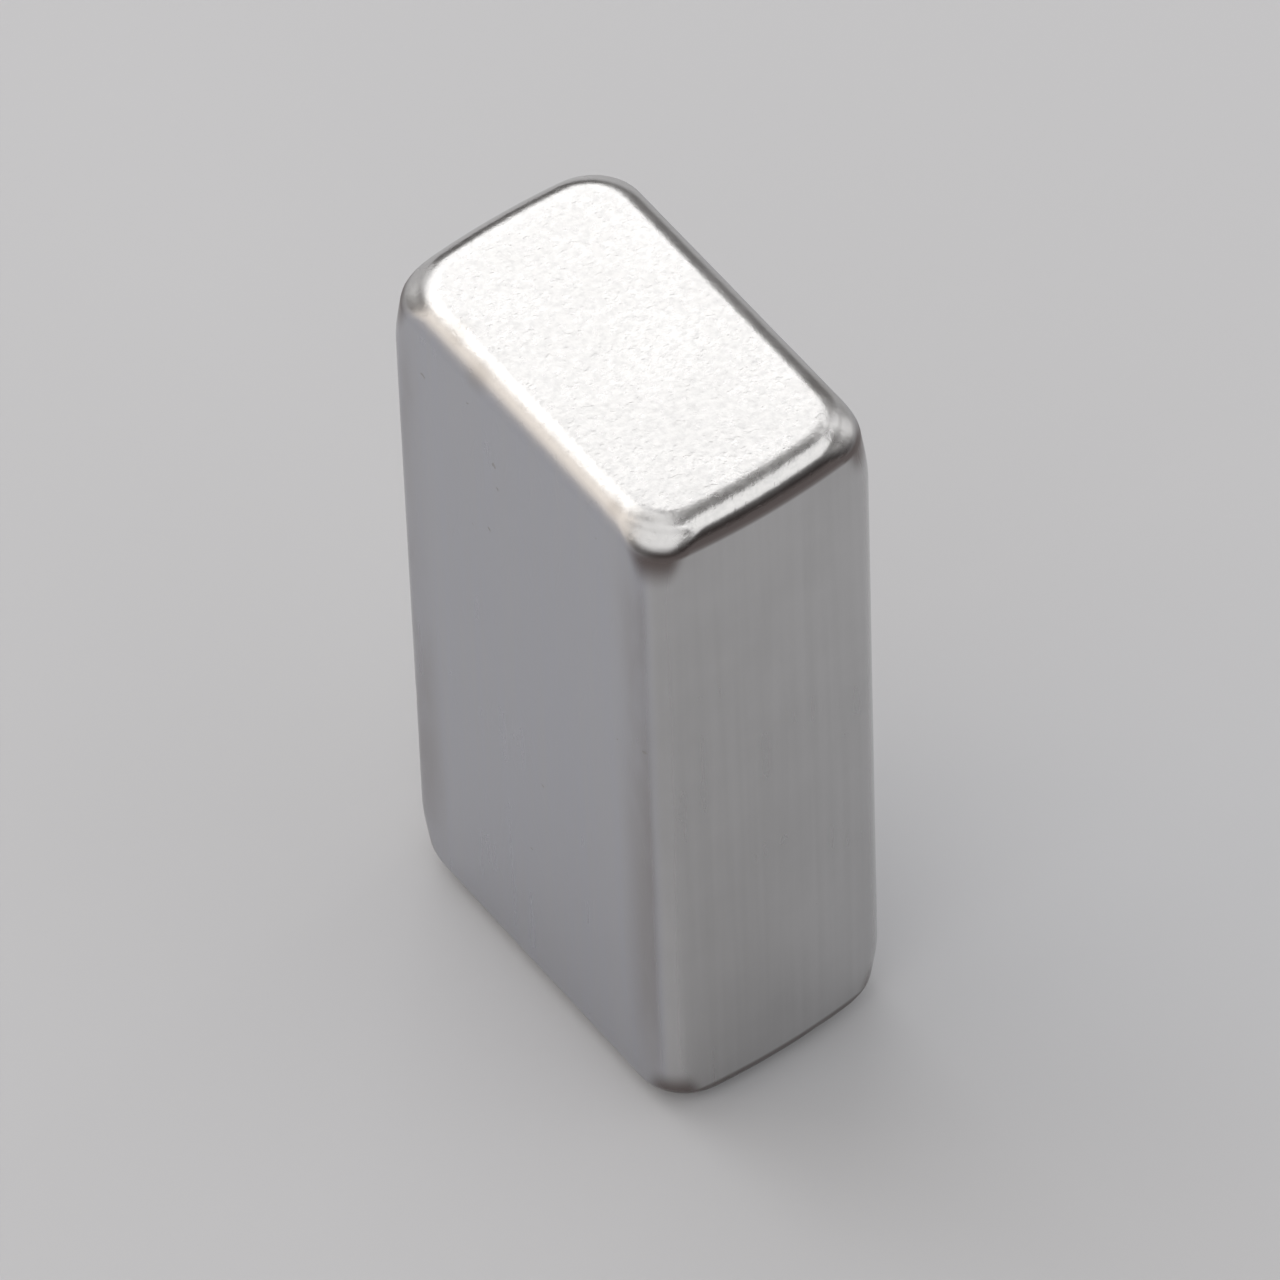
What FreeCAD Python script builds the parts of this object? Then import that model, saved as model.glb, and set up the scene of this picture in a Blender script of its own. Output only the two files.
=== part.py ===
"""Block magnet: one plated rectangular block, 3 mm thick, 5 mm wide and 10 mm long.

Millimetres. The block stands on one end face, with +Z along its length, +Y across its
width and +X through its thickness, from pole to pole. The origin is the centre of the
end face that it stands on.

Such a block is pressed and sintered, sliced to size, tumbled in a barrel until its edges
are round, and plated. The pole faces and the end faces are flat, and the two narrow sides
stand out a little in their middle. Tumbling wears a corner more than the middle of an
edge, so each long edge is tight along the block's middle and opens out towards both ends.
"""
import FreeCAD, Part
import Sketcher
import os

# Each size has its name, its value and what it means.
SIZES = [
    ("block_length", 10.0, "along Z, the side that stands upright"),
    ("block_width", 5.0, "along Y, from the middle of one narrow side to the other's"),
    ("block_thickness", 3.0, "along X, between the two poles"),
    ("side_bow", 0.12, "how far a narrow side stands out in its middle"),
    ("edge_round", 0.3, "radius of a long edge along the middle of the block"),
    ("corner_round", 0.6, "radius of a long edge where it reaches an end"),
    ("corner_reach", 1.0, "how far from an end a long edge begins to open out"),
    ("end_round", 0.36, "radius of the rim round each end face"),
]

# The radius of a narrow side, from how far it stands out over the block's thickness.
BOW_RADIUS = ("((Sizes.block_thickness / 2) ^ 2 + Sizes.side_bow ^ 2)"
              " / (2 * Sizes.side_bow)")

# Two points or heights nearer than this are the same.
SAME = 1e-4


def write_sizes(doc):
    """Put the driving sizes in a sheet, one row each, with the name as the cell's alias."""
    sheet = doc.addObject("Spreadsheet::Sheet", "Sizes")
    for row, (name, value, meaning) in enumerate(SIZES, start=1):
        sheet.set("A%d" % row, name)
        sheet.set("B%d" % row, str(value))
        sheet.set("C%d" % row, meaning)
        sheet.setAlias("B%d" % row, name)
    doc.recompute()
    return sheet


def add_side_lines(outline, sheet):
    """Draw the four sides of the outline in turn, and give their numbers in the sketch."""
    x = sheet.block_thickness / 2
    y = sheet.block_width / 2 - sheet.side_bow
    corners = [FreeCAD.Vector(x, -y, 0), FreeCAD.Vector(x, y, 0),
               FreeCAD.Vector(-x, y, 0), FreeCAD.Vector(-x, -y, 0)]
    right_middle = FreeCAD.Vector(0, sheet.block_width / 2, 0)
    return [
        outline.addGeometry(Part.LineSegment(corners[0], corners[1])),
        outline.addGeometry(Part.Arc(corners[1], right_middle, corners[2])),
        outline.addGeometry(Part.LineSegment(corners[2], corners[3])),
        outline.addGeometry(Part.Arc(corners[3], -right_middle, corners[0])),
    ]


def add_plan_outline(doc, sheet):
    """The outline from above, with sharp corners, straight wide sides and bowed narrow ones."""
    outline = doc.addObject("Sketcher::SketchObject", "plan_outline")
    sides = add_side_lines(outline, sheet)
    front, right, back, left = sides

    def bind(size, *constraint):
        """Add a constraint whose value follows the sheet."""
        number = outline.addConstraint(Sketcher.Constraint(*constraint))
        outline.setExpression("Constraints[%d]" % number, size)

    for side, following in zip(sides, sides[1:] + sides[:1]):
        outline.addConstraint(Sketcher.Constraint("Coincident", side, 2, following, 1))
    for side in (front, back):
        outline.addConstraint(Sketcher.Constraint("Symmetric", side, 1, side, 2, -1))
    outline.addConstraint(Sketcher.Constraint("Symmetric", front, 2, back, 1, -2))

    wide_side = outline.Geometry[front].length()
    bind("Sizes.block_width - 2 * Sizes.side_bow", "DistanceY", front, 1, front, 2, wide_side)
    bind("Sizes.block_thickness", "DistanceX", back, 1, front, 2, sheet.block_thickness)
    for side in (right, left):
        bind(BOW_RADIUS, "Radius", side, outline.Geometry[side].Radius)
    doc.recompute()
    return outline


def add_zone(doc, name, outline, start, length):
    """A stretch of the sliced block, from a height upwards."""
    zone = doc.addObject("Part::Extrusion", name)
    zone.Base = outline
    zone.DirMode = "Custom"
    zone.Dir = FreeCAD.Vector(0, 0, 1)
    zone.Solid = True
    zone.setExpression("LengthFwd", length)
    zone.setExpression("Placement.Base.z", start)
    return zone


def add_sliced_block(doc, outline):
    """The sharp-edged block, its long edges parted where they begin to open out."""
    block = doc.addObject("Part::MultiFuse", "sliced_block")
    block.Shapes = [
        add_zone(doc, "lower_end_zone", outline, "0", "Sizes.corner_reach"),
        add_zone(doc, "middle_zone", outline, "Sizes.corner_reach",
                 "Sizes.block_length - 2 * Sizes.corner_reach"),
        add_zone(doc, "upper_end_zone", outline, "Sizes.block_length - Sizes.corner_reach",
                 "Sizes.corner_reach"),
    ]
    block.Refine = False
    doc.recompute()
    return block


def is_on_an_end(height, sheet):
    """Whether a height is that of the lower or the upper end face."""
    return min(abs(height), abs(height - sheet.block_length)) < SAME


def round_edges(doc, name, base, radii_of):
    """Round those edges of a base that radii_of gives a radius for their two ends."""
    fillet = doc.addObject("Part::Fillet", name)
    fillet.Base = base
    radii = [(number, radii_of(edge)) for number, edge in enumerate(base.Shape.Edges, start=1)]
    fillet.Edges = [(number, *both) for number, both in radii if both]
    doc.recompute()
    return fillet


def long_edge_radii(sheet):
    """Even along the middle zone, and growing towards the end in each end zone."""
    def radii_of(edge):
        if edge.BoundBox.ZLength < SAME:
            return None
        heights = [edge.valueAt(at).z for at in (edge.FirstParameter, edge.LastParameter)]
        return [sheet.corner_round if is_on_an_end(height, sheet) else sheet.edge_round
                for height in heights]
    return radii_of


def rim_radii(sheet):
    """One radius for all the edges that lie in an end face."""
    def radii_of(edge):
        flat = edge.BoundBox.ZLength < SAME
        if flat and is_on_an_end(edge.BoundBox.ZMin, sheet):
            return [sheet.end_round, sheet.end_round]
        return None
    return radii_of


def check(doc, piece):
    """Stop if any object failed, or if the piece isn't one valid solid."""
    for item in doc.Objects:
        if "Invalid" in item.State or "Error" in item.State:
            raise RuntimeError("%s failed: %s" % (item.Label, item.State))
    shape = piece.Shape
    if shape.isNull() or not shape.isValid() or len(shape.Solids) != 1:
        raise RuntimeError("%s is not one valid solid" % piece.Label)


doc = FreeCAD.newDocument("block_magnet")
sheet = write_sizes(doc)
sliced = add_sliced_block(doc, add_plan_outline(doc, sheet))
tumbled = round_edges(doc, "long_edges_rounded", sliced, long_edge_radii(sheet))
tumbled = round_edges(doc, "end_rims_rounded", tumbled, rim_radii(sheet))

# The faces that only the zones parted become whole again.
magnet = doc.addObject("Part::Refine", "magnet")
magnet.Source = tumbled
magnet.Label = "block_magnet"
doc.recompute()
check(doc, magnet)

os.makedirs("parts", exist_ok=True)
magnet.Shape.exportStep("parts/%s.step" % magnet.Label)
print("%s: %.3f mm3, %.3f mm2, %d faces" % (
    magnet.Label, magnet.Shape.Volume, magnet.Shape.Area, len(magnet.Shape.Faces)))
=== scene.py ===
# %% [markdown]
# # A block magnet, and how to give it its looks
#
# A block magnet is one piece. Its powder is pressed and baked hard, the blank is sliced to
# size, the slices tumble in a barrel until their edges are round, and then they get a thin
# coat of nickel. So there are two things to make here: the tumbled shape, with all that a
# barrel does to an edge and a face, and the satin metal skin.
#
# The frame is loaded first. It holds the block at its real size, and everything that
# follows is measured from it, so nothing has to be fitted afterwards.

# %% Load the frame and note its box
import math

import bpy
from mathutils import Matrix, Vector


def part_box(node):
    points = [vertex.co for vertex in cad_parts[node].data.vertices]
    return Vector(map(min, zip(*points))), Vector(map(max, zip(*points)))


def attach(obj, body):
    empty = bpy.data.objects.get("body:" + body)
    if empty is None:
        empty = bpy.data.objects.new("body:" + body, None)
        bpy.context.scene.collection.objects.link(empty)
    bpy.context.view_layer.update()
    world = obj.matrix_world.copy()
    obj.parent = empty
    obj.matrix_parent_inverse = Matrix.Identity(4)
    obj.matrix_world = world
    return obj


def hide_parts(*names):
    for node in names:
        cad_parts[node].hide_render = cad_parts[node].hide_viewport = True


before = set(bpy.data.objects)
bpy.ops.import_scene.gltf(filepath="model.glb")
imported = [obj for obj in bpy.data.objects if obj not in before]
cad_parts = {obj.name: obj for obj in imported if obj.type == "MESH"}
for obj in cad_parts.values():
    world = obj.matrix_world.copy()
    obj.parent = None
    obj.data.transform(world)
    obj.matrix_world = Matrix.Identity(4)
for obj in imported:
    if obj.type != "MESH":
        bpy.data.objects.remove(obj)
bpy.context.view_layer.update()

MM = 0.001
NODE = "block_magnet"

block_low, block_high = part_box(NODE)
block_size = block_high - block_low
block_centre = (block_low + block_high) / 2
print("block: %.2f x %.2f x %.2f mm" % tuple(side / MM for side in block_size))

# %% [markdown]
# ## The form that tumbling leaves
#
# The end faces and the two wide sides are flat. The two narrow sides stand out a little in
# their middle, like the side of a very large drum.
#
# In the barrel the blocks rub against each other. The middle of an edge is worn least. A
# corner is struck from three sides, so each long edge opens out towards both of its ends.
# The rim round an end face is worn evenly, but for its four corners, which are rubbed a
# little rounder still. `CORNER_WEAR` is what they add to the long edge's radius.
#
# Such a form could be modelled by hand with bevels. It follows a rule, though, so Geometry
# Nodes suit it better: a fine grid over a plain block is pushed inwards to the rounded
# form, and each radius stays a named number that can be changed.

# %% The bow of the narrow sides and the radii of the edges
SIDE_BOW = 0.12 * MM
LONG_EDGE_ROUND = 0.3 * MM
LONG_EDGE_ROUND_AT_END = 0.6 * MM
LONG_EDGE_REACH = 1.0 * MM
END_RIM_ROUND = 0.36 * MM
CORNER_WEAR = 0.25 * MM
GRID_CELL = 0.0455 * MM

cells = [max(1, round(side / GRID_CELL)) for side in block_size]
grid_quads = 2 * (cells[0] * cells[1] + cells[1] * cells[2] + cells[2] * cells[0])
print("grid of %d x %d x %d cells, %d triangles" % (*cells, 2 * grid_quads))

# %% [markdown]
# ### Formulas as nodes
#
# A rule such as this one is a formula, and a formula in nodes is a long row of Math nodes.
# It is easier to read if it can be written as it would be on paper. A `Wire` stands for
# what comes out of a socket. Adding two wires puts an Add node in the tree and gives the
# wire that comes out of it, and the same goes for the other sums.
#
# The helper serves the block's form here and its nickel further down, because both kinds
# of tree have the same Math node.

# %% A wire that can be used in sums
class Wire:
    """What comes out of a socket. A sum of wires adds the Math node that works it out."""

    def __init__(self, tree, socket):
        self.tree = tree
        self.socket = socket

    def math(self, operation, *others):
        node = self.tree.nodes.new("ShaderNodeMath")
        node.operation = operation
        for slot, value in zip(node.inputs, (self, *others)):
            plug(self.tree, value, slot)
        return Wire(self.tree, node.outputs[0])

    def __add__(self, other):
        return self.math("ADD", other)

    def __sub__(self, other):
        return self.math("SUBTRACT", other)

    def __mul__(self, other):
        return self.math("MULTIPLY", other)

    def __truediv__(self, other):
        return self.math("DIVIDE", other)

    def larger(self, other):
        return self.math("MAXIMUM", other)

    def smaller(self, other):
        return self.math("MINIMUM", other)

    def ramp(self, start, stop, low=0.0, high=1.0, smooth=True):
        """Goes from low to high while this wire goes from start to stop."""
        node = self.tree.nodes.new("ShaderNodeMapRange")
        node.interpolation_type = "SMOOTHSTEP" if smooth else "LINEAR"
        for slot, value in zip(node.inputs, (self, start, stop, low, high)):
            plug(self.tree, value, slot)
        return Wire(self.tree, node.outputs[0])


# %% Feed a socket, and add a node
def plug(tree, value, slot):
    """Feed an input socket from a wire, or set it to a plain value."""
    if isinstance(value, Wire):
        tree.links.new(value.socket, slot)
    else:
        slot.default_value = value


def add(tree, kind, inputs=None, out=0, **settings):
    """Add a node, set it up, feed its inputs by name, and give the wire that comes out."""
    node = tree.nodes.new(kind)
    for name, value in settings.items():
        setattr(node, name, value)
    for name, value in (inputs or {}).items():
        plug(tree, value, node.inputs[name])
    return Wire(tree, node.outputs[out])


# %% Vectors, taken apart and put together
def split(vector):
    """The three parts of a vector, each as a wire."""
    node = vector.tree.nodes.new("ShaderNodeSeparateXYZ")
    vector.tree.links.new(vector.socket, node.inputs[0])
    return [Wire(vector.tree, part) for part in node.outputs]


def join(tree, x, y, z):
    """A vector made of three wires or numbers."""
    return add(tree, "ShaderNodeCombineXYZ", {"X": x, "Y": y, "Z": z})


def unit(vector):
    """The same direction, one long. A vector of no length stays as it is."""
    node = vector.tree.nodes.new("ShaderNodeVectorMath")
    node.operation = "NORMALIZE"
    vector.tree.links.new(vector.socket, node.inputs[0])
    return Wire(vector.tree, node.outputs[0])


# %% [markdown]
# ### The rounding rule
#
# Seen from above, the block is a rectangle with rounded corners and two bowed sides. Three
# steps give the place of a grid point:
#
# 1. How far a point lies inside the outline, and how far it lies below the end face, say
#    how far round the rim it goes.
# 2. The outline's corner has a radius that depends on the height. The part of the point's
#    place that lies past the corner's centre is turned to the right length.
# 3. The narrow sides are drawn in towards their edges, by the square of the distance from
#    their middle. That opens the corner a little, so step 2 gets a smaller radius: the
#    tangent of half the corner's turn is the share that's left.
#
# A point in the middle of a flat face lies past no centre, so it stays where it is.

# %% Push a grid point to the tumbled form
def tumbled_place(tree, sizes, radii):
    """The rounded place of each point of a plain block's grid, about the block's centre."""
    place = split(add(tree, "GeometryNodeInputPosition"))
    half = [size * 0.5 for size in sizes]
    away = [part.math("ABSOLUTE") for part in place]

    round_here = away[2].ramp(half[2] - radii["Reach"], half[2],
                              radii["Long Edge Round"], radii["Long Edge Round At End"])
    inside = (half[0] - away[0]).smaller(half[1] - away[1])

    rim = radii["End Rim Round"]
    round_here = round_here + away[2].ramp(half[2] - rim, half[2], 0.0, radii["Corner Wear"])
    outwards = (rim - inside).larger(0.0)
    upwards = (away[2] - (half[2] - rim)).larger(0.0)
    reach = (outwards * outwards + upwards * upwards).math("SQRT")
    new_inside = inside.larger(rim) - rim * outwards / reach
    new_height = away[2].smaller(half[2] - rim) + rim * upwards / reach

    turn = (radii["Side Bow"] * 2.0 / half[0]).math("ARCTANGENT") * -1.0 + math.pi / 2
    round_here = round_here * (turn * 0.5).math("TANGENT")
    centres = [half[axis] - round_here for axis in (0, 1)]
    past = [(away[axis] - centres[axis]).larger(0.0) for axis in (0, 1)]
    turned = split(unit(join(tree, past[0], past[1], 0.0)))
    outline = [away[axis].smaller(centres[axis]) + (round_here - new_inside) * turned[axis]
               for axis in (0, 1)]
    from_middle = outline[0] / half[0]
    near_side = away[1].ramp(0.0, half[1] - radii["Long Edge Round At End"], smooth=False)
    outline[1] = outline[1] - radii["Side Bow"] * from_middle * from_middle * near_side
    signs = [part.math("SIGN") for part in place]
    return join(tree, outline[0] * signs[0], outline[1] * signs[1], new_height * signs[2])


# %% [markdown]
# ### Which part of the block a point is on
#
# The dents and the nickel both need to know where they are. The way that a face looks
# tells a flat side from an edge, and the height tells a rim from a long edge. Each part
# gets a share from 0 to 1 that fades out over its border:
#
# - `edge_share`, `end_share` and `pole_share` for the edges, the ends and the wide sides
# - `wide_rim_share` for the rim between an end and a wide side
# - `foot_shade_share` for the outer part of a narrow side's rim, and for the hollow of the
#   corner under it, which carry a painted dark reflection and painted shade
# - `long_edge_shade_share` for a band of the wide sides that ends on the long edges, most in
#   the middle of the block, and carries a painted brown shade
#
# They are kept on the points, so that the material can read them too.
#
# Each pair below says where a share begins and where it is full, as a distance or as a
# facing. A facing is 1 where the skin looks straight along an axis, about 0.7 halfway
# round an edge, and 0 where the skin lies along that axis.

# %% Where each share begins, and where it is full
EDGE_FACING = (0.985, 0.8)
END_FACING = (0.55, 0.98)
POLE_FACING = (0.7, 0.98)
WIDE_RIM_UP = (0.05, 0.3)
WIDE_RIM_OUT = (0.1, 0.5)

# Where the painted dark reflection on a narrow side's rim, and the painted shade under its
# corner, lie.
FOOT_UP_BELOW = (0.03, 0.15)
FOOT_UP_ABOVE = (0.68, 0.48)
FOOT_OUT = (0.3, 0.62)
FOOT_FROM_END = (0.5 * MM, 0.38 * MM)
FOOT_MOST = 0.88

UNDER_CORNER_OUT = (0.04, 0.45)
UNDER_CORNER_TOP = (0.2 * MM, 0.34 * MM)
UNDER_CORNER_FADE = (0.8 * MM, 0.36 * MM)
UNDER_CORNER_MOST = 0.9

# Where the painted brown shade along the long edges lies.
LONG_EDGE_SHADE_FROM_SIDE = (0.95 * MM, 0.35 * MM)
LONG_EDGE_SHADE_OUT = (0.6, 0.25)
LONG_EDGE_SHADE_UP = (0.5, 0.2)
LONG_EDGE_SHADE_FROM_END = (0.3 * MM, 1.6 * MM)
LONG_EDGE_SHADE_LEAST = 0.3


# %% Shares of the block's parts
def part_shares(tree, sizes):
    """How much a point belongs to each part, by where its face looks and by its height."""
    facing = [part.math("ABSOLUTE")
              for part in split(add(tree, "GeometryNodeInputNormal"))]
    flattest = facing[0].larger(facing[1]).larger(facing[2])
    place = [part.math("ABSOLUTE") for part in split(add(tree, "GeometryNodeInputPosition"))]
    from_side = sizes[1] * 0.5 - place[1]
    from_end = sizes[2] * 0.5 - place[2]
    # The outer part of a narrow side's rim and the hollow under its corner carry a painted
    # dark reflection and painted shade.
    foot_shade = (facing[2].ramp(*FOOT_UP_BELOW) * facing[2].ramp(*FOOT_UP_ABOVE)
            * facing[1].ramp(*FOOT_OUT) * from_end.ramp(*FOOT_FROM_END))
    under_corner = ((facing[0] * facing[1]).ramp(*UNDER_CORNER_OUT)
                    * from_end.ramp(*UNDER_CORNER_TOP) * from_end.ramp(*UNDER_CORNER_FADE))
    # A band along the long edges that carries a painted brown shade.
    long_edge_shade = (from_side.ramp(*LONG_EDGE_SHADE_FROM_SIDE) * facing[1].ramp(*LONG_EDGE_SHADE_OUT)
           * facing[2].ramp(*LONG_EDGE_SHADE_UP) * from_end.ramp(*LONG_EDGE_SHADE_FROM_END, LONG_EDGE_SHADE_LEAST, 1.0))
    return {
        "edge_share": flattest.ramp(*EDGE_FACING),
        "end_share": facing[2].ramp(*END_FACING),
        "pole_share": facing[0].ramp(*POLE_FACING),
        "wide_rim_share": facing[2].ramp(*WIDE_RIM_UP) * facing[0].ramp(*WIDE_RIM_OUT),
        "foot_shade_share": (foot_shade * FOOT_MOST).larger(under_corner * UNDER_CORNER_MOST),
        "long_edge_shade_share": long_edge_shade,
    }


# %% Keep a share on the points, and find it again
def keep_on_points(tree, surface, name, value):
    """Store a value on the points under a name that a material can read."""
    return add(tree, "GeometryNodeStoreNamedAttribute",
               {"Geometry": surface, "Name": name, "Value": value},
               data_type="FLOAT", domain="POINT")


def kept(tree, name):
    """A value that was kept on the points."""
    return add(tree, "GeometryNodeInputNamedAttribute", {"Name": name}, data_type="FLOAT")


# %% [markdown]
# ### What the barrel and the plating do to a face
#
# No face comes out of the barrel as flat as it was sliced. Four things show close up:
#
# - a shoulder: the face falls away a few thousandths of a millimetre near its edges
# - waves: the plating follows the ground, which is a little uneven
# - grain: the end faces keep the pressed powder's grain more than the ground sides
# - hollows on the faces and dings on the edges: each has its own width, and they are
#   scattered with a fixed seed
#
# These are real dents, so they are made in the mesh and not only in the finish. All of
# them go inwards, and the block keeps its size. `ding_share` tells the nickel of the dings.

# %% How deep and how wide the marks are
SHOULDER_DEPTH = 0.004 * MM
SHOULDER_WIDTH = 0.55 * MM
WAVE_DEPTH = 0.0028 * MM
WAVES_PER_METRE = 700.0
GRAIN_DEPTH = 0.0016 * MM
GRAINS_PER_METRE = 5200.0
HOLLOW_DEPTH = 0.0016 * MM
HOLLOW_WIDTH = (0.25 * MM, 0.7 * MM)
HOLLOWS_PER_SQUARE_METRE = 0.25e6
HOLLOW_SEED = 11
DING_DEPTH = 0.004 * MM
DING_WIDTH = (0.1 * MM, 0.3 * MM)
DINGS_PER_SQUARE_METRE = 0.5e6
DING_SEED = 5
DING_EDGE_SHARE = 0.3
BUMP_DETAIL = {"Detail": 1.0, "Roughness": 0.55}

deepest = SHOULDER_DEPTH + WAVE_DEPTH + GRAIN_DEPTH + HOLLOW_DEPTH + DING_DEPTH
print("marks: %.3f mm deep at most where all of them meet" % (deepest / MM))


# %% Round dents at random places
def dents(tree, surface, per_area, widths, seed, where=None):
    """From 0 on the untouched skin to 1 at the bottom of a round dent, scattered at random."""
    inputs = {"Mesh": surface, "Density": per_area, "Seed": seed}
    if where is not None:
        inputs["Selection"] = where
    middles = add(tree, "GeometryNodeDistributePointsOnFaces", inputs)
    distance = add(tree, "GeometryNodeProximity", {0: middles}, out=1, target_element="POINTS")
    nearest = add(tree, "GeometryNodeSampleNearest", {0: middles})
    width = add(tree, "FunctionNodeRandomValue", {2: widths[0], 3: widths[1], "Seed": seed},
                out=1, data_type="FLOAT")
    width_here = add(tree, "GeometryNodeSampleIndex",
                     {0: middles, 1: width, "Index": nearest}, data_type="FLOAT")
    hollow = (distance * distance / (width_here * width_here)) * -1.0 + 1.0
    hollow = hollow.larger(0.0)
    return hollow * hollow


# %% Shoulder, waves and grain
def shoulder(tree, sizes):
    """How deep the face has fallen away here. The nearest edge is the second nearest side."""
    place = split(add(tree, "GeometryNodeInputPosition"))
    to_side = [size * 0.5 - part.math("ABSOLUTE") for size, part in zip(sizes, place)]
    pairs = [to_side[0].larger(to_side[1]), to_side[1].larger(to_side[2]),
             to_side[2].larger(to_side[0])]
    from_edge = pairs[0].smaller(pairs[1]).smaller(pairs[2])
    return from_edge.ramp(0.0, SHOULDER_WIDTH, SHOULDER_DEPTH, 0.0)


def uneven(tree, per_metre, shift):
    """Smooth random bumps from 0 to 1, with that many to the metre."""
    place = add(tree, "ShaderNodeVectorMath", {0: add(tree, "GeometryNodeInputPosition"),
                                               1: (shift, 0.0, 0.0)})
    return add(tree, "ShaderNodeTexNoise",
               {"Vector": place, "Scale": per_metre, **BUMP_DETAIL})


# %% [markdown]
# ### The whole tree
#
# The tree starts from a grid over a plain block, rounds it, keeps the shares on its points,
# dents it, sets it upright where the frame has it, and ends with the nickel.

# %% A tree with named inputs
TREE_SIZES = ["Thickness", "Width", "Length", "Side Bow", "Long Edge Round",
              "Long Edge Round At End", "Reach", "End Rim Round", "Corner Wear"]


def group_tree(name, floats, integers, vectors):
    """An empty tree for a modifier, with named inputs, and its group input node."""
    tree = bpy.data.node_groups.new(name, "GeometryNodeTree")
    tree.is_modifier = True
    kinds = [(floats, "NodeSocketFloat"), (integers, "NodeSocketInt"),
             (vectors, "NodeSocketVector"), (["Nickel"], "NodeSocketMaterial")]
    for names, kind in kinds:
        for label in names:
            tree.interface.new_socket(label, in_out="INPUT", socket_type=kind)
    tree.interface.new_socket("Mesh", in_out="OUTPUT", socket_type="NodeSocketGeometry")
    return tree, tree.nodes.new("NodeGroupInput")


# %% Dent the skin
def dented(tree, surface, sizes):
    """Keep where the dings are, and push the skin inwards by the whole relief."""
    hollows = dents(tree, surface, HOLLOWS_PER_SQUARE_METRE, HOLLOW_WIDTH, HOLLOW_SEED)
    dings = dents(tree, surface, DINGS_PER_SQUARE_METRE, DING_WIDTH, DING_SEED,
                  where=kept(tree, "edge_share").math("GREATER_THAN", DING_EDGE_SHARE))
    surface = keep_on_points(tree, surface, "ding_share", dings)

    waves = uneven(tree, WAVES_PER_METRE, 0.0) * WAVE_DEPTH
    grain = uneven(tree, GRAINS_PER_METRE, 1.0) * GRAIN_DEPTH * kept(tree, "end_share")
    depth = shoulder(tree, sizes) + waves + grain + hollows * HOLLOW_DEPTH + dings * DING_DEPTH
    inwards = add(tree, "ShaderNodeVectorMath",
                  {0: add(tree, "GeometryNodeInputNormal"), "Scale": depth * -1.0},
                  operation="SCALE")
    return add(tree, "GeometryNodeSetPosition", {"Geometry": surface, "Offset": inwards})


# %% Build the tree
def block_tree():
    """The Geometry Nodes tree of a tumbled and dented block."""
    tree, entry = group_tree("tumbled_block", TREE_SIZES, ["Cells X", "Cells Y", "Cells Z"],
                             ["Centre"])
    given = {socket.name: Wire(tree, socket) for socket in entry.outputs if socket.name}
    sizes = [given[name] for name in ("Thickness", "Width", "Length")]
    counts = {"Vertices " + axis: given["Cells " + axis] + 1 for axis in "XYZ"}
    surface = add(tree, "GeometryNodeMeshCube", {"Size": join(tree, *sizes), **counts})
    surface = add(tree, "GeometryNodeSetPosition",
                  {"Geometry": surface, "Position": tumbled_place(tree, sizes, given)})
    for name, share in part_shares(tree, sizes).items():
        surface = keep_on_points(tree, surface, name, share)
    surface = dented(tree, surface, sizes)

    surface = add(tree, "GeometryNodeSetShadeSmooth", {"Geometry": surface})
    surface = add(tree, "GeometryNodeTransform",
                  {"Geometry": surface, "Translation": given["Centre"]})
    surface = add(tree, "GeometryNodeRealizeInstances", {"Geometry": surface})
    surface = add(tree, "GeometryNodeSetMaterial",
                  {"Geometry": surface, "Material": given["Nickel"]})
    exit_node = tree.nodes.new("NodeGroupOutput")
    tree.links.new(surface.socket, exit_node.inputs["Mesh"])
    return tree


# %% [markdown]
# ## Satin nickel
#
# The coat is metal, so nearly all that is seen in it is a reflection, and what sets one
# part apart from another is mostly how it scatters light:
#
# - the end faces are brightest and grainy, and break the light up into fine specks
# - the four long sides were ground, so they are smoother, with faint streaks lengthwise
# - edges are rubbed in the barrel, and are a little glossier, but the rim of a wide side,
#   which lies against its neighbours, stays satin
# - pits hold polish and dirt, so they are dull and dark, and hairlines cross the sides
#
# The colour changes less, and some of its changes are painted light. The end faces get a
# brighter tone than the sides, a painted highlight. The wide sides lean a little to blue, a
# painted reflection, and a painted brown shade lies along their long edges. A painted dark
# reflection lies on the outer part of a narrow side's rim, and painted shade under its corner.
# All patterns are made from the object's own coordinates, so they stay put in any view.

# %% Patterns for the nickel
def object_place(tree):
    """The place on the object, as a wire."""
    node = tree.nodes.new("ShaderNodeTexCoord")
    return Wire(tree, node.outputs["Object"])


def speckle(tree, per_metre, detail=2.0, stretch=(1.0, 1.0, 1.0), roughness=0.55):
    """Random bumps from 0 to 1. A stretch under 1 draws them out along that axis."""
    scaled = add(tree, "ShaderNodeMapping", {"Vector": object_place(tree), "Scale": stretch})
    return add(tree, "ShaderNodeTexNoise", {"Vector": scaled, "Scale": per_metre,
                                            "Detail": detail, "Roughness": roughness})


def blend_colours(tree, share, first, second):
    """The first colour where the share is 0, and the second where it is 1."""
    node = tree.nodes.new("ShaderNodeMix")
    node.data_type = "RGBA"
    plug(tree, share, node.inputs["Factor"])
    for value, slot in zip((first, second), (node.inputs[6], node.inputs[7])):
        plug(tree, value, slot)
    return Wire(tree, node.outputs[2])


# %% [markdown]
# A pit is a small ragged spot. A Voronoi texture divides the skin into cells, and a random
# number for each cell says whether it has a pit and how wide that is. A hairline is a noise
# stretched so far that only thin crests are left.

# %% Pits
PIT_CELLS_PER_METRE = 1500.0
PIT_CHANCE = 0.3
PIT_WIDTH = (0.02 * MM, 0.05 * MM)
PIT_WALL = (1.0, 0.55)
PIT_RAG = 0.09 * MM
PIT_RAGS_PER_METRE = 16000.0


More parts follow.
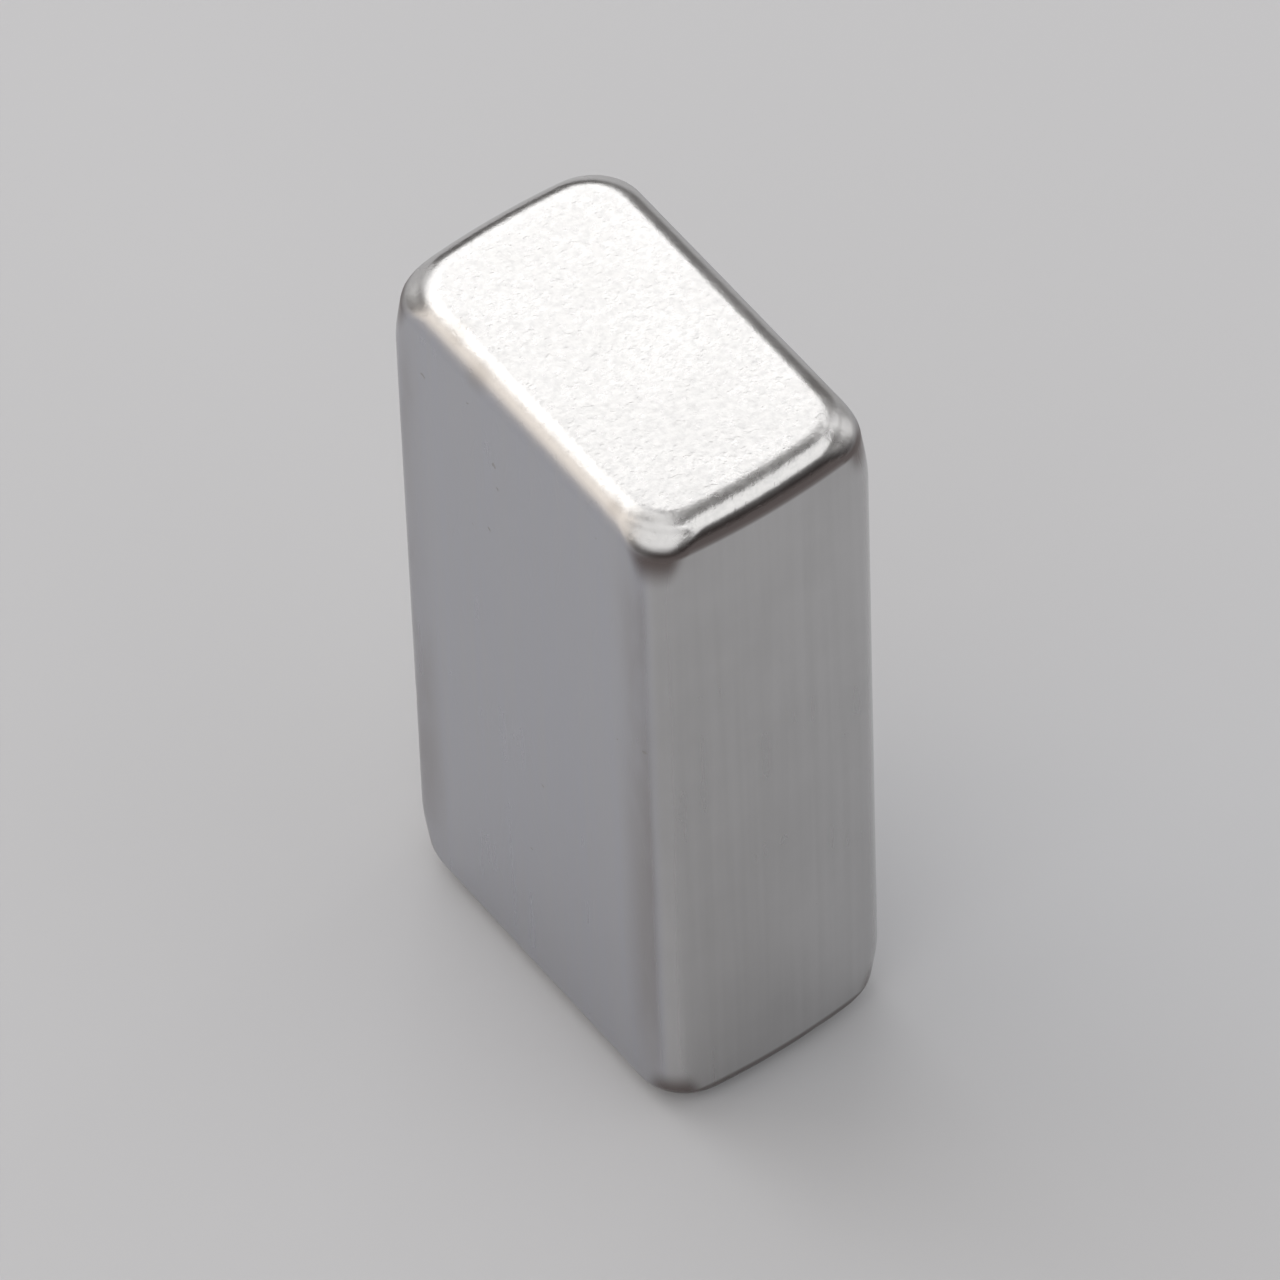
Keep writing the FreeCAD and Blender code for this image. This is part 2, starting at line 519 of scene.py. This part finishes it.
def pits_in(tree):
    """1 in the middle of a small ragged pit and 0 outside. Only some of the cells have one."""
    ragged = add(tree, "ShaderNodeTexNoise",
                 {"Vector": object_place(tree), "Scale": PIT_RAGS_PER_METRE, "Detail": 1.0},
                 out=1)
    shift = add(tree, "ShaderNodeVectorMath", {0: ragged, "Scale": PIT_RAG},
                operation="SCALE")
    place = add(tree, "ShaderNodeVectorMath", {0: object_place(tree), 1: shift})
    cells = tree.nodes.new("ShaderNodeTexVoronoi")
    cells.inputs["Scale"].default_value = PIT_CELLS_PER_METRE
    tree.links.new(place.socket, cells.inputs["Vector"])
    near = Wire(tree, cells.outputs["Distance"]) / PIT_CELLS_PER_METRE
    pick = split(Wire(tree, cells.outputs["Color"]))
    width = pick[1].ramp(0.0, 1.0, PIT_WIDTH[0], PIT_WIDTH[1], smooth=False)
    is_pit = pick[0].math("GREATER_THAN", 1.0 - PIT_CHANCE)
    return (near / width).ramp(*PIT_WALL) * is_pit


# %% Hairlines
HAIRLINES_PER_METRE = 15000.0
HAIRLINE_CREST = (0.7, 0.77)

# Each set of hairlines has its turn, in radians, and how far its noise is drawn out.
HAIRLINE_SETS = [((0.3, 0.21, 0.4), 0.012), ((-0.2, -0.14, 0.4), 0.016)]


def hairlines(tree):
    """Thin scratches that run mostly lengthwise, each a little askew."""
    lines = None
    for turn, stretch in HAIRLINE_SETS:
        place = add(tree, "ShaderNodeMapping", {"Vector": object_place(tree),
                                                "Rotation": turn})
        place = add(tree, "ShaderNodeMapping", {"Vector": place, "Scale": (1.0, 1.0, stretch)})
        noise = add(tree, "ShaderNodeTexNoise", {"Vector": place, "Scale": HAIRLINES_PER_METRE,
                                                 "Detail": 0.0})
        line = noise.ramp(*HAIRLINE_CREST)
        lines = line if lines is None else lines.larger(line)
    return lines


# %% What colour, gloss and relief all use
PARTS = ["edge", "end", "pole", "wide_rim", "foot_shade", "long_edge_shade", "ding"]
CLOUDS_PER_METRE = 650.0
STREAKS_PER_METRE = 9000.0
STREAK_STRETCH = (1.0, 1.0, 0.03)


def read_share(tree, name):
    """A share that the block's tree kept on its points."""
    node = tree.nodes.new("ShaderNodeAttribute")
    node.attribute_name = name + "_share"
    return Wire(tree, node.outputs["Fac"])


def nickel_marks(tree):
    """The parts of the block and the patterns on it, each a wire from 0 to 1."""
    marks = {name: read_share(tree, name) for name in PARTS}
    marks["side"] = marks["end"] * -1.0 + 1.0
    marks["cloud"] = speckle(tree, CLOUDS_PER_METRE, detail=3.0)
    marks["streak"] = speckle(tree, STREAKS_PER_METRE, detail=1.0, stretch=STREAK_STRETCH)
    marks["pit"] = pits_in(tree) * marks["side"]
    return marks


# %% Colour
# The end faces' brighter tone is a painted highlight; the plating is the same nickel as on the
# sides.
PAINTED_END_HIGHLIGHT = (0.62, 0.613, 0.606, 1.0)
NICKEL_LIGHT = (0.548, 0.544, 0.545, 1.0)
NICKEL_DARK = (0.494, 0.491, 0.491, 1.0)
# A painted blue reflection on the wide sides, in place of a cool surround mirrored there.
PAINTED_BLUE_REFLECTION = (0.497, 0.504, 0.545, 1.0)
# A painted brown shade along the long edges of the wide sides.
PAINTED_LONG_EDGE_SHADE = (0.3, 0.275, 0.265, 1.0)
# A painted dark reflection on the outer part of a narrow side's rim, and painted shade under
# its corner.
PAINTED_FOOT_SHADE = (0.12, 0.09, 0.082, 1.0)
PIT_COLOUR = (0.36, 0.34, 0.32, 1.0)
CRYSTALS_PER_METRE = 11000.0
CRYSTAL_SHARE = (0.0, 0.6)
# Patches that break up the painted brown shade along the long edges.
SHADE_PATCHES_PER_METRE = 420.0
SHADE_PATCH_STRETCH = (1.0, 1.0, 0.35)
SHADE_PATCH_SHARE = (0.15, 0.62)


def nickel_colour(tree, marks):
    """Clouded and streaked grey, with a painted highlight on the ends, a painted blue
    reflection on the wide sides, and painted shade at the long edges and the narrow rims.
    """
    crystals = speckle(tree, CRYSTALS_PER_METRE, detail=2.0, roughness=0.7)
    crystals = crystals.ramp(0.35, 0.75, *CRYSTAL_SHARE)
    shade_patches = speckle(tree, SHADE_PATCHES_PER_METRE, detail=4.0, stretch=SHADE_PATCH_STRETCH,
                     roughness=0.6).ramp(0.38, 0.6, *SHADE_PATCH_SHARE)
    # Each layer has its share and its colour, and lies over the ones before it.
    layers = [
        ((marks["cloud"] * 0.65 + marks["streak"] * 0.35).ramp(0.3, 0.7), NICKEL_LIGHT),
        # A painted blue reflection on the wide sides.
        (marks["pole"] * marks["streak"].ramp(0.25, 0.75, 0.95, 0.65), PAINTED_BLUE_REFLECTION),
        # A painted highlight: the end faces get a brighter tone than the sides.
        (marks["end"].ramp(0.0, 0.4), PAINTED_END_HIGHLIGHT),
        (crystals * marks["end"], NICKEL_DARK),
        # A painted brown shade along the long edges, broken into patches.
        (marks["long_edge_shade"] * shade_patches, PAINTED_LONG_EDGE_SHADE),
        # A painted dark reflection on the narrow rims, and painted shade under their corners.
        (marks["foot_shade"] * 0.97, PAINTED_FOOT_SHADE),
        ((marks["pit"] * 0.6).larger(marks["ding"] * 0.4), PIT_COLOUR),
    ]
    tone = NICKEL_DARK
    for share, colour in layers:
        tone = blend_colours(tree, share, tone, colour)
    return tone


# %% Gloss
SIDE_ROUGHNESS = 0.30
END_ROUGHNESS = 0.28
EDGE_ROUGHNESS = 0.2
WIDE_RIM_ROUGHNESS = 0.33
PIT_ROUGHNESS = 0.4
CLOUD_ROUGHNESS = 0.12
STREAK_ROUGHNESS = 0.08


def nickel_roughness(tree, marks):
    """Satin faces, glossier edges, satin wide rims and dull pits."""
    rough = marks["end"].ramp(0.0, 1.0, SIDE_ROUGHNESS, END_ROUGHNESS)
    rough = (rough + (marks["cloud"] - 0.5) * CLOUD_ROUGHNESS
             + (marks["streak"] - 0.5) * STREAK_ROUGHNESS)
    rough = rough + marks["edge"] * (EDGE_ROUGHNESS - SIDE_ROUGHNESS)
    rough = rough + marks["wide_rim"] * (WIDE_RIM_ROUGHNESS - EDGE_ROUGHNESS)
    return rough + marks["pit"] * (PIT_ROUGHNESS - SIDE_ROUGHNESS)


# %% Fine relief
END_GRAIN_DEPTH = 0.0022 * MM
END_GRAINS_PER_METRE = 14000.0
STREAK_DEPTH = 0.0002 * MM
FINE_DEPTH = 0.0003 * MM
FINE_BUMPS_PER_METRE = 30000.0
PIT_DEPTH = 0.004 * MM
HAIRLINE_DEPTH = 0.0006 * MM


def nickel_relief(tree, marks):
    """The slope of all that is too fine for the mesh, one relief laid over another."""
    reliefs = [
        (speckle(tree, END_GRAINS_PER_METRE, detail=2.0) * marks["end"], END_GRAIN_DEPTH),
        (marks["streak"] * marks["side"], STREAK_DEPTH),
        (speckle(tree, FINE_BUMPS_PER_METRE, detail=1.0), FINE_DEPTH),
        (marks["pit"] * -1.0, PIT_DEPTH),
        (hairlines(tree) * -1.0, HAIRLINE_DEPTH),
    ]
    slope = None
    for height, depth in reliefs:
        inputs = {"Height": height, "Distance": depth, "Strength": 1.0}
        if slope is not None:
            inputs["Normal"] = slope
        slope = add(tree, "ShaderNodeBump", inputs)
    return slope


# %% Make the nickel
def nickel_plating():
    """Satin nickel over a tumbled block."""
    material = bpy.data.materials.new("nickel_plating")
    material.use_nodes = True
    tree = material.node_tree
    skin = tree.nodes["Principled BSDF"]
    skin.inputs["Metallic"].default_value = 1.0
    marks = nickel_marks(tree)
    plug(tree, nickel_colour(tree, marks), skin.inputs["Base Color"])
    plug(tree, nickel_roughness(tree, marks), skin.inputs["Roughness"])
    plug(tree, nickel_relief(tree, marks), skin.inputs["Normal"])
    return material


nickel = nickel_plating()
print("nickel: %d nodes" % len(nickel.node_tree.nodes))

# %% [markdown]
# ## Make the block
#
# The tree goes on an empty mesh as a modifier. Its inputs are set by the sockets' own
# identifiers, and then the result is taken as a plain mesh. The grid comes with an empty
# material slot in front of the nickel's, which is dropped.

# %% Run the tree
def mesh_from_tree(tree, values):
    """Run a tree once, with these values for its named inputs, and give a plain mesh."""
    holder = bpy.data.objects.new("holder", bpy.data.meshes.new("holder"))
    bpy.context.scene.collection.objects.link(holder)
    modifier = holder.modifiers.new("tree", "NODES")
    modifier.node_group = tree
    for item in tree.interface.items_tree:
        if item.item_type == "SOCKET" and item.in_out == "INPUT":
            modifier[item.identifier] = values[item.name]
    depsgraph = bpy.context.evaluated_depsgraph_get()
    mesh = bpy.data.meshes.new_from_object(holder.evaluated_get(depsgraph),
                                           preserve_all_data_layers=True,
                                           depsgraph=depsgraph)
    holder.modifiers.remove(modifier)
    bpy.data.objects.remove(holder)
    while mesh.materials[0] is None:
        mesh.materials.pop(index=0)
    return mesh


block_values = {
    "Thickness": block_size.x, "Width": block_size.y, "Length": block_size.z,
    "Side Bow": SIDE_BOW, "Long Edge Round": LONG_EDGE_ROUND,
    "Long Edge Round At End": LONG_EDGE_ROUND_AT_END,
    "Reach": LONG_EDGE_REACH, "End Rim Round": END_RIM_ROUND, "Corner Wear": CORNER_WEAR,
    "Cells X": cells[0], "Cells Y": cells[1], "Cells Z": cells[2],
    "Centre": tuple(block_centre), "Nickel": nickel,
}
block_mesh = mesh_from_tree(block_tree(), block_values)
block_mesh.name = "plated_block"
magnet = bpy.data.objects.new("plated_block", block_mesh)
bpy.context.scene.collection.objects.link(magnet)
print("plated_block: %d points, %d faces, %d materials" % (
    len(block_mesh.vertices), len(block_mesh.polygons), len(block_mesh.materials)))
print("kept on the points:", [a.name for a in block_mesh.attributes if a.domain == "POINT"])

# %% Tell the frame about the block
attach(magnet, "root")
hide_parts(NODE)

# %% [markdown]
# ## The stage
#
# Metal shows what stands round it, so the floor is part of the look: it is what the
# upright sides of the block reflect. A plain pale floor gives them an even grey.

# %% Floor
FLOOR_RADIUS = 400 * MM
FLOOR_CORNERS = 128
FLOOR_COLOUR = (0.55, 0.552, 0.565, 1.0)
FLOOR_ROUGHNESS = 0.9
FLOOR_SHINE = 0.1


def make_floor():
    """A large plain disc that the block stands on."""
    ring = [(FLOOR_RADIUS * math.cos(math.tau * i / FLOOR_CORNERS),
             FLOOR_RADIUS * math.sin(math.tau * i / FLOOR_CORNERS), block_low.z)
            for i in range(FLOOR_CORNERS)]
    mesh = bpy.data.meshes.new("floor")
    mesh.from_pydata(ring, [], [tuple(range(FLOOR_CORNERS))])
    floor = bpy.data.objects.new("floor", mesh)
    bpy.context.scene.collection.objects.link(floor)
    paint = bpy.data.materials.new("pale_floor")
    paint.use_nodes = True
    skin = paint.node_tree.nodes["Principled BSDF"]
    skin.inputs["Base Color"].default_value = FLOOR_COLOUR
    skin.inputs["Roughness"].default_value = FLOOR_ROUGHNESS
    skin.inputs["Specular IOR Level"].default_value = FLOOR_SHINE
    mesh.materials.append(paint)
    print("floor: %.0f mm across" % (2 * FLOOR_RADIUS / MM))


make_floor()

# %% [markdown]
# ## Light
#
# Bare metal shows the lamps round it and the gaps between them. So each lamp has its place
# from one part of the block, and stands where that part mirrors the view:
#
# - a broad softbox behind, as high as the camera, whitens the end face
# - a card and a warm window to the left of it carry the white on over the wide side's rim
# - two strips in front draw the bright line along the narrow side's rim, and a card
#   overhead joins them to the softbox at the front corner
# - smaller cards keep the corners on the left and on the right from going dark
#
# Between the softbox and the strips a gap stays open. It draws the thin dark line beside
# the end face. A dim even surround fills in the rest.

# %% Directions, and a lamp
LAMP_DISTANCE = 300 * MM


def direction(azimuth, elevation):
    """From the block outwards. Azimuth 0 is towards -Y, and it grows towards +X."""
    a, e = math.radians(azimuth), math.radians(elevation)
    return Vector((math.sin(a) * math.cos(e), -math.cos(a) * math.cos(e), math.sin(e)))


def add_lamp(name, azimuth, elevation, width, height, brightness, colour):
    """A flat soft lamp that faces the block. A brightness of 1 looks white."""
    lamp = bpy.data.lights.new(name, "AREA")
    lamp.shape = "RECTANGLE"
    lamp.size, lamp.size_y = width * MM, height * MM
    lamp.energy = brightness * math.pi * lamp.size * lamp.size_y
    lamp.color = colour
    holder = bpy.data.objects.new(name, lamp)
    away = direction(azimuth, elevation)
    holder.location = block_centre + away * LAMP_DISTANCE
    holder.rotation_euler = away.to_track_quat("Z", "Y").to_euler()
    bpy.context.scene.collection.objects.link(holder)


# %% Lamps
WHITE = (1.0, 1.0, 1.0)

# Each lamp has its name, azimuth, elevation, width and height in mm, brightness and colour.
LAMPS = [
    ("softbox_behind", 172, 45, 400, 185, 1.8, (1.0, 0.999, 0.997)),
    ("high_card_behind", 211, 55, 150, 130, 1.5, (1.0, 0.97, 0.93)),
    ("warm_window_behind", 240, 24, 190, 260, 1.3, (1.0, 0.92, 0.84)),
    ("low_card_behind", 186, 14, 150, 128, 0.7, WHITE),
    ("strip_in_front", -56, 48, 330, 205, 1.1, WHITE),
    ("strip_at_right", 35, 48, 320, 205, 1.2, WHITE),
    ("card_overhead", 235, 84, 240, 110, 1.1, WHITE),
    ("high_card_at_right", 108, 47, 110, 90, 1.5, WHITE),
    ("low_card_at_right", 88, 22, 106, 195, 1.2, WHITE),
]
for lamp_row in LAMPS:
    add_lamp(*lamp_row)
print("lamps: %d" % len(LAMPS))

# %% The surround
SURROUND_COLOUR = (1.04, 0.98, 0.96, 1.0)
SURROUND_STRENGTH = 0.12

world = bpy.data.worlds.new("surround")
bpy.context.scene.world = world
world.use_nodes = True
surround = world.node_tree.nodes["Background"]
surround.inputs["Color"].default_value = SURROUND_COLOUR
surround.inputs["Strength"].default_value = SURROUND_STRENGTH
print("surround: %.2f of white" % SURROUND_STRENGTH)

# %% [markdown]
# ## Camera
#
# The view is the photograph's: from the left, a little over 50 degrees above the floor. The
# lens is long, so that this one small block fills the picture from the same distance.

# %% Camera
VIEW_AZIMUTH = -34.6
VIEW_ELEVATION = 51.6
VIEW_DISTANCE = 165 * MM
VIEW_ROLL = -2.2
IMAGE_SIDE = 1280
PIXELS_PER_RADIAN = 15200.0
SENSOR_WIDTH = 36.0
CLIP = (10 * MM, 2000 * MM)


def add_camera():
    """A camera that looks at the block's middle, turned a little about its own axis."""
    camera = bpy.data.cameras.new("camera")
    camera.sensor_width = SENSOR_WIDTH
    camera.lens = PIXELS_PER_RADIAN / IMAGE_SIDE * SENSOR_WIDTH
    camera.clip_start, camera.clip_end = CLIP
    holder = bpy.data.objects.new("camera", camera)
    back = direction(VIEW_AZIMUTH, VIEW_ELEVATION)
    turn = back.to_track_quat("Z", "Y").to_matrix()
    turn = turn @ Matrix.Rotation(math.radians(VIEW_ROLL), 3, "Z")
    holder.rotation_euler = turn.to_euler()
    holder.location = block_centre + back * VIEW_DISTANCE
    bpy.context.scene.collection.objects.link(holder)
    bpy.context.scene.camera = holder
    print("camera: %.0f mm lens, %.0f mm away" % (camera.lens, VIEW_DISTANCE / MM))


add_camera()
bpy.context.scene.view_settings.view_transform = "Standard"
